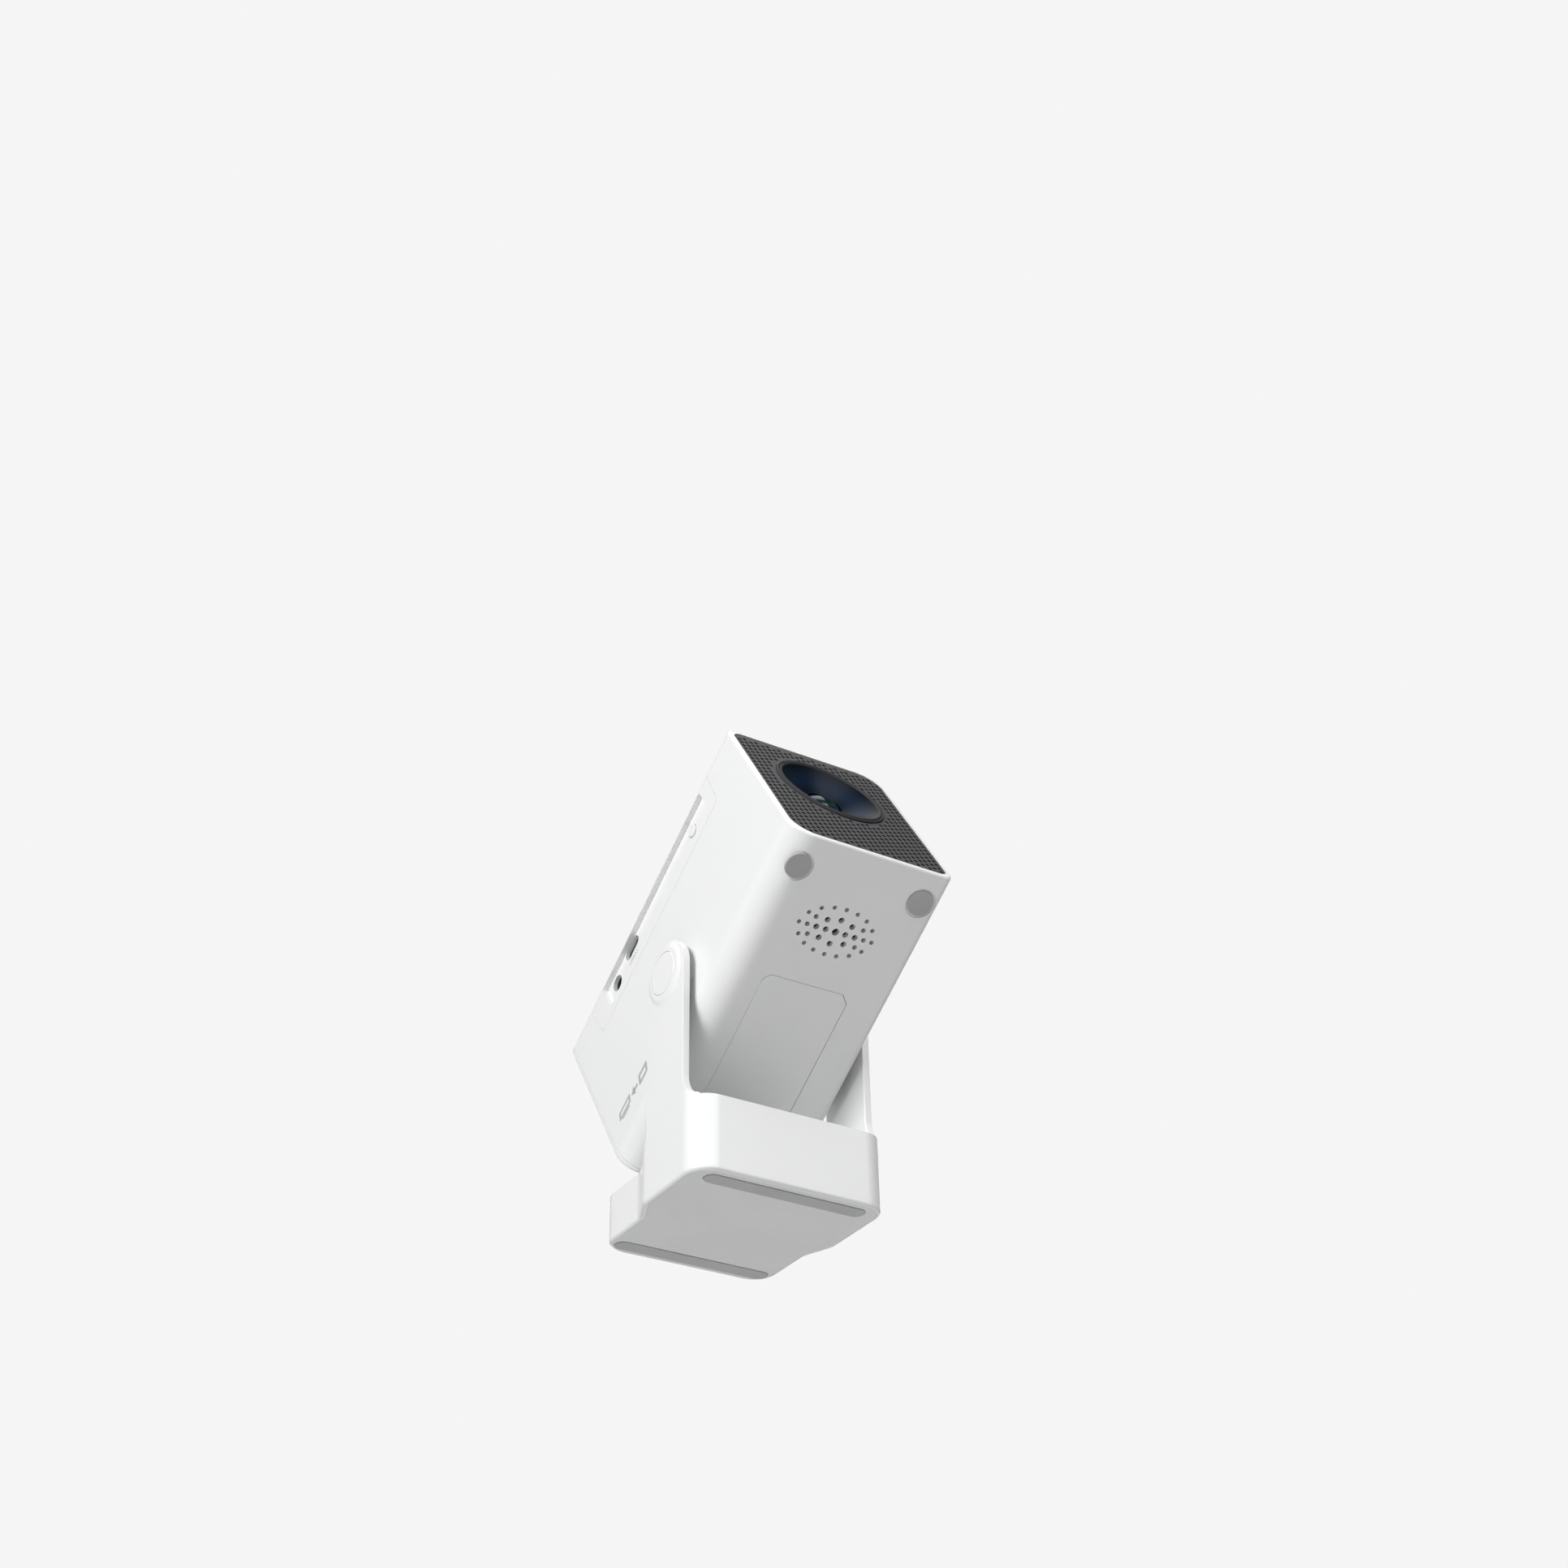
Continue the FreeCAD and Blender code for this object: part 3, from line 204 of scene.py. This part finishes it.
def shaded(name, dark, light, rough, grain, depth, **values):
    """A finish with broad tone changes, uneven gloss and a fine surface grain."""
    made = Finish(name)
    broad = made.noise(BROAD_TONES)
    made.set(Base_Color=made.mix(made.spread(broad, 0.0, 1.0), dark, light))
    made.set(Roughness=made.spread(made.noise(UNEVEN_GLOSS), rough[0], rough[1]))
    made.bump(made.noise(grain), 0.35, depth)
    made.set(**values)
    return made


def woven_cloth():
    """Fine dark cloth: two crossed sets of threads."""
    made = shaded("mesh_black", (0.010, 0.010, 0.011), (0.020, 0.020, 0.021), (0.8, 0.95), 4000.0, 0.00002)
    x, _, z = made.in_head()
    threads = [made.math("SINE", made.math("MULTIPLY", way, THREADS_PER_METRE * math.tau)) for way in (x, z)]
    made.bump(made.math("ADD", *threads), 0.8, 0.00004)
    return made


def perforated_grey():
    """Dark grey paint on the grille's face, with near-black painted shade on the holes' walls below it."""
    made = Finish("grille_black")
    _, depth, _ = made.in_head()
    start, end = [(FRONT + within) * MM for within in PAINTED_SHADE_DEPTH]
    # Painted shade: below the face the holes' walls go near-black, standing in for the shade in the holes.
    painted_hole_shade = made.spread(depth, 0.0, 1.0, start, end)
    paint = made.mix(made.noise(30.0), (0.056, 0.056, 0.059), (0.066, 0.066, 0.069))
    made.set(Base_Color=made.mix(painted_hole_shade, paint, (0.003, 0.003, 0.003)))
    made.set(Roughness=made.spread(made.noise(90.0), 0.46, 0.56), Specular_IOR_Level=0.2)
    made.bump(made.noise(2400.0, 2.0), 0.2, 0.000004)
    return made


def lens_surround():
    """Dark grey lips like the grille round a glossy navy-black dish with faint turned rings. The dish's navy
    is painted sheen and shade: lighter part way out, darker towards the lens and the lip.
    """
    made = Finish("lens_surround")
    radius = made.lens_radius()
    on_lip = made.spread(radius, 0.0, 1.0, LIP_RADIUS - 0.1, LIP_RADIUS + 0.1)
    # Painted sheen and shade: the dish's colour is lightest part way out and darkens towards the lens and
    # the lip.
    depth = made.ramp(made.math("DIVIDE", radius, DISH_RADIUS), (
        (0.36, (0.004, 0.006, 0.010)), (0.55, (0.004, 0.010, 0.022)), (0.66, (0.005, 0.014, 0.032)),
        (0.78, (0.004, 0.012, 0.026)), (1.0, (0.002, 0.003, 0.006))))
    grey = made.mix(made.noise(30.0), (0.042, 0.042, 0.045), (0.052, 0.052, 0.055))
    made.set(Base_Color=made.mix(on_lip, depth, grey))
    made.set(Roughness=made.spread(on_lip, 0.34, 0.46, 0.0, 1.0), IOR=1.12)
    rings = made.math("SINE", made.math("MULTIPLY", radius, math.tau / RING_PITCH))
    made.bump(made.math("MULTIPLY", made.math("POWER", made.math("ABSOLUTE", rings), 24.0),
                        made.math("SUBTRACT", 1.0, on_lip)), 0.25, 0.00002)
    return made


def coated_glass():
    """Lens glass with the coating's reflections painted as green and blue rings, darker towards the middle.
    """
    made = Finish("coated_glass")
    radius = made.math("DIVIDE", made.lens_radius(), GLASS_RADIUS)
    # Painted reflection: the green and blue rings stand in for the coating's coloured reflections.
    made.set(Base_Color=made.ramp(radius, (
        (0.0, (0.002, 0.004, 0.010)), (0.34, (0.003, 0.010, 0.022)), (0.5, (0.004, 0.040, 0.020)),
        (0.62, (0.003, 0.012, 0.020)), (0.78, (0.010, 0.030, 0.110)), (0.9, (0.004, 0.012, 0.030)),
        (1.0, (0.010, 0.012, 0.016)))))
    made.set(Roughness=made.spread(made.noise(700.0), 0.02, 0.06), IOR=1.3)
    made.bump(made.noise(500.0, 2.0), 0.05, 0.000003)
    return made


def make_finishes():
    """One procedural material for each slot of the record."""
    made = {}
    made["white_shell"] = shaded("white_shell", (0.80, 0.803, 0.806), (0.806, 0.809, 0.812), (0.33, 0.34),
                                 900.0, 0.0000002)
    made["grey_plate"] = shaded("grey_plate", (0.66, 0.663, 0.666), (0.70, 0.703, 0.706), (0.50, 0.62),
                                3800.0, 0.00002)
    made["soft_rubber"] = shaded("soft_rubber", (0.41, 0.412, 0.414), (0.45, 0.452, 0.454), (0.72, 0.85),
                                 2600.0, 0.00003)
    made["foot_rubber"] = shaded("foot_rubber", (0.38, 0.382, 0.384), (0.42, 0.422, 0.424), (0.62, 0.76),
                                 2600.0, 0.00003)
    made["grille_black"] = perforated_grey()
    made["mesh_black"] = woven_cloth()
    made["lens_surround"] = lens_surround()
    made["inner_black"] = shaded("inner_black", (0.020, 0.020, 0.021), (0.034, 0.034, 0.035), (0.5, 0.66),
                                 3000.0, 0.00003)
    made["zinc_steel"] = shaded("zinc_steel", (0.56, 0.56, 0.55), (0.66, 0.66, 0.64), (0.26, 0.42),
                                2400.0, 0.00002, Metallic=1.0)
    made["spring_steel"] = shaded("spring_steel", (0.40, 0.40, 0.41), (0.50, 0.50, 0.51), (0.22, 0.36),
                                  2400.0, 0.00002, Metallic=1.0)
    made["bare_aluminium"] = shaded("bare_aluminium", (0.74, 0.75, 0.76), (0.83, 0.84, 0.85), (0.28, 0.44),
                                    2000.0, 0.00003, Metallic=1.0)
    made["board_green"] = shaded("board_green", (0.012, 0.10, 0.04), (0.02, 0.15, 0.06), (0.28, 0.42),
                                 1800.0, 0.00004)
    made["clear_glass"] = shaded("clear_glass", (0.90, 0.93, 0.94), (0.94, 0.96, 0.96), (0.02, 0.05),
                                 400.0, 0.000004, Transmission_Weight=0.9, IOR=1.5)
    made["dark_glass"] = shaded("dark_glass", (0.02, 0.02, 0.025), (0.03, 0.03, 0.04), (0.06, 0.12),
                                400.0, 0.000004)
    made["coated_glass"] = coated_glass()
    made["gear_nylon"] = shaded("gear_nylon", (0.70, 0.69, 0.64), (0.76, 0.75, 0.70), (0.40, 0.55),
                                2600.0, 0.00003)
    return {slot: finish.material for slot, finish in made.items()}


FINISHES = make_finishes()
for name, node in NODES.items():
    node.data.materials.clear()
    node.data.materials.append(FINISHES[SLOT_OF[name]])


# ---------------------------------------------------------------- printed marks and other small pieces

def new_piece(name, faces_of, slot, body):
    """A mesh object built by a function, with its finish, riding on a body."""
    shape = bmesh.new()
    faces_of(shape)
    bmesh.ops.recalc_face_normals(shape, faces=shape.faces)
    mesh = bpy.data.meshes.new(name)
    shape.to_mesh(mesh)
    shape.free()
    mesh.materials.append(FINISHES[slot])
    piece = bpy.data.objects.new(name, mesh)
    bpy.context.scene.collection.objects.link(piece)
    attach(piece, body)


def print_shape(shape, outer, x, inner=None):
    """A thin raised shape on the side of the head, from (along, up) outlines in millimetres."""
    rings = [outer] if inner is None else [outer, inner]
    levels = []
    for level in (x, x - INK):
        levels.append([[shape.verts.new(in_head(level, along, up)) for along, up in ring] for ring in rings])
    for ring in range(len(rings)):
        count = len(rings[ring])
        for step in range(count):
            after = (step + 1) % count
            shape.faces.new((levels[0][ring][step], levels[0][ring][after],
                             levels[1][ring][after], levels[1][ring][step]))
    for level in levels:
        if inner is None:
            shape.faces.new(level[0])
            continue
        for step in range(len(outer)):
            after = (step + 1) % len(outer)
            shape.faces.new((level[0][step], level[0][after], level[1][after], level[1][step]))


def arc(along, up, radius, start=0.0, end=360.0, count=24):
    """Points round a circle, the last one left out when it is whole."""
    whole = end - start >= 360.0
    steps = count if whole else count + 1
    angles = [math.radians(start + (end - start) * step / count) for step in range(steps)]
    return [(along + radius * math.cos(angle), up + radius * math.sin(angle)) for angle in angles]


def round_box(along, up, length, height, radius, slant=0.0):
    """A rounded rectangle's outline, leaned forwards by slant."""
    points = []
    for side, top, start in ((1, 1, 0), (-1, 1, 90), (-1, -1, 180), (1, -1, 270)):
        points += arc(side * (length / 2 - radius), top * (height / 2 - radius), radius,
                      start, start + 90, 6)
    return [(along + x - slant * z, up + z) for x, z in points]


def bar(along, up, length, height):
    """A plain thin rectangle's outline."""
    return [(along - length / 2, up - height / 2), (along + length / 2, up - height / 2),
            (along + length / 2, up + height / 2), (along - length / 2, up + height / 2)]


def power_mark(shape):
    """An open ring with a short bar through its gap."""
    along, up = -37.2, 46.7
    outer = arc(along, up, 0.62, 130, 410)
    inner = arc(along, up, 0.44, 130, 410)
    print_shape(shape, outer + inner[::-1], RECESS_FLOOR)
    print_shape(shape, bar(along, up + 0.5, 0.18, 0.75), RECESS_FLOOR)


def data_socket_mark(shape):
    """The outline of a flat socket between two short bars."""
    along, up = 18.6, 48.3
    print_shape(shape, round_box(along, up, 5.2, 2.0, 0.9), RECESS_FLOOR,
                round_box(along, up, 4.5, 1.3, 0.6))
    print_shape(shape, bar(along, up, 2.8, 0.4), RECESS_FLOOR)
    for side in (-1, 1):
        print_shape(shape, bar(along + side * 3.5, up, 0.35, 1.5), RECESS_FLOOR)


def supply_mark(shape):
    """A ring round a dot: a centre pin in a round plug."""
    along, up = 34.4, 46.3
    print_shape(shape, arc(along, up, 0.95), RECESS_FLOOR, arc(along, up, 0.75))
    print_shape(shape, arc(along, up, 0.32, count=12), RECESS_FLOOR)


def video_mark(shape):
    """A socket, an arrow and a screen in a row: picture goes in here."""
    up = -8.0
    lean = 0.35
    print_shape(shape, round_box(39.0, up, 7.6, 4.8, 0.9, lean), SIDE,
                round_box(39.0, up, 4.6, 2.0, 0.5, lean))
    print_shape(shape, bar(45.6, up, 3.0, 1.4), SIDE)
    print_shape(shape, [(46.8, up - 2.3), (49.6, up), (46.8, up + 2.3)], SIDE)
    print_shape(shape, round_box(55.6, up + 0.5, 10.0, 3.8, 0.6, lean), SIDE,
                round_box(55.6, up + 0.5, 7.4, 1.4, 0.3, lean))
    print_shape(shape, bar(55.9, up - 2.1, 6.4, 0.9), SIDE)


new_piece("power_mark", power_mark, "foot_rubber", "head")
new_piece("data_socket_mark", data_socket_mark, "foot_rubber", "head")
new_piece("supply_mark", supply_mark, "foot_rubber", "head")
new_piece("video_mark", video_mark, "foot_rubber", "head")


def rounded_copy(name, body, roundings):
    """A copy of a CAD node that stands for it, with the chosen sharp edges rounded to each radius."""
    node = NODES[name]
    shape = bmesh.new()
    shape.from_mesh(node.data)
    bmesh.ops.remove_doubles(shape, verts=shape.verts, dist=WELD)
    bmesh.ops.dissolve_limit(shape, angle_limit=FLAT_WITHIN, verts=shape.verts, edges=shape.edges)
    for chosen, radius in roundings:
        shape.normal_update()
        edges = [edge for edge in shape.edges if edge.calc_face_angle(0.0) > SHARP and chosen(edge)]
        bmesh.ops.bevel(shape, geom=edges, offset=radius, segments=3, profile=0.5, affect="EDGES",
                        clamp_overlap=False)
    for face in shape.faces:
        face.smooth = True
    for edge in shape.edges:
        edge.smooth = edge.calc_face_angle(0.0) < SMOOTH_BELOW
    mesh = bpy.data.meshes.new(name + "_rounded")
    shape.to_mesh(mesh)
    shape.free()
    mesh.materials.append(node.data.materials[0])
    piece = bpy.data.objects.new(name + "_rounded", mesh)
    bpy.context.scene.collection.objects.link(piece)
    piece.modifiers.new("even", "WEIGHTED_NORMAL").keep_sharp = True
    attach(piece, body)
    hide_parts(name)


def on_arm_rim(near, far):
    """A test for edges above the base on the arms' faces, between two distances from the middle."""
    def chosen(edge):
        sides = [abs(end.co.x) for end in edge.verts]
        flush = abs(sides[0] - sides[1]) < FLUSH
        low = min(end.co.z for end in edge.verts)
        return flush and low > ABOVE_BASE * MM and near * MM < min(sides) and max(sides) < far * MM
    return chosen


# The pivot boss leaves less than 0.3 mm of flat round it, so the outer edges take a smaller rounding.
rounded_copy("stand_yoke", "stand",
             ((on_arm_rim(*ARM_OUTER_FACE), 0.2 * MM), (on_arm_rim(*ARM_INNER_FACE), 0.5 * MM)))


# ---------------------------------------------------------------- floor, light and camera

def pale_floor(level, size):
    """A large pale square far below the object."""
    mesh = bpy.data.meshes.new("floor")
    half = size / 2
    corners = [(-half, -half, level), (half, -half, level), (half, half, level), (-half, half, level)]
    mesh.from_pydata(corners, [], [(0, 1, 2, 3)])
    floor = bpy.data.objects.new("floor", mesh)
    bpy.context.scene.collection.objects.link(floor)
    finish = Finish("floor")
    finish.set(Base_Color=finish.mix(finish.noise(3.0, 2.0), (0.80, 0.80, 0.805), (0.79, 0.79, 0.795)))
    finish.set(Roughness=0.9)
    mesh.materials.append(finish.material)


def studio_world(seen, ambient):
    """A pale surround that lights the object only a little, and meets the floor in a soft sweep."""
    world = bpy.data.worlds.new("studio")
    world.use_nodes = True
    nodes, links = world.node_tree.nodes, world.node_tree.links
    back = nodes["Background"]
    rays = nodes.new("ShaderNodeLightPath").outputs["Is Camera Ray"]
    level = nodes.new("ShaderNodeMapRange")
    links.new(rays, level.inputs["Value"])
    level.inputs["To Min"].default_value = ambient
    direction = nodes.new("ShaderNodeTexCoord").outputs["Generated"]
    apart = nodes.new("ShaderNodeSeparateXYZ")
    links.new(direction, apart.inputs[0])
    sweep = nodes.new("ShaderNodeMapRange")
    sweep.interpolation_type = "SMOOTHSTEP"
    links.new(apart.outputs["Z"], sweep.inputs["Value"])
    for key, value in (("From Min", SWEEP_START), ("From Max", SWEEP_END),
                       ("To Min", FAR_FLOOR), ("To Max", seen)):
        sweep.inputs[key].default_value = value
    links.new(sweep.outputs[0], level.inputs["To Max"])
    links.new(level.outputs[0], back.inputs["Strength"])
    back.inputs["Color"].default_value = (1.0, 1.0, 1.0, 1.0)
    return world


def soft_light(name, place, size, power):
    """A square area light aimed at the middle of the object, itself out of sight."""
    lamp = bpy.data.lights.new(name, "AREA")
    lamp.size = size
    lamp.energy = power
    made = bpy.data.objects.new(name, lamp)
    made.location = place
    made.rotation_euler = ((cad_low + cad_high) / 2 - Vector(place)).to_track_quat("-Z", "Y").to_euler()
    made.visible_camera = False
    bpy.context.scene.collection.objects.link(made)


CAMERA_PLACE = Vector((-0.42991, -0.72612, -0.36487))
BACK = Vector((-0.44067, -0.70426, -0.55661))
RIGHT = Vector((0.85344, -0.52093, -0.01655))
UP = BACK.cross(RIGHT)

camera = bpy.data.objects.new("camera", bpy.data.cameras.new("camera"))
bpy.context.scene.collection.objects.link(camera)
turn = Matrix((RIGHT, UP, BACK)).transposed().to_4x4()
camera.matrix_world = Matrix.Translation(CAMERA_PLACE) @ turn
camera.data.lens = 55.466
camera.data.sensor_width = 36.0
camera.data.clip_start = 0.01
bpy.context.scene.camera = camera

bpy.context.scene.view_settings.view_transform = "Standard"
bpy.context.scene.world = studio_world(SEEN, AMBIENT)
pale_floor(FLOOR_LEVEL, FLOOR_SIZE)
soft_light("left", (-1.35, -0.45, 0.55), 0.7, 22.2)
soft_light("high_front", (0.2, -1.25, 1.15), 1.0, 18.8)
soft_light("behind", (0.9, 1.3, 0.5), 1.2, 15.0)
soft_light("top", (0, 0.2, 1.7), 1.2, 9.0)
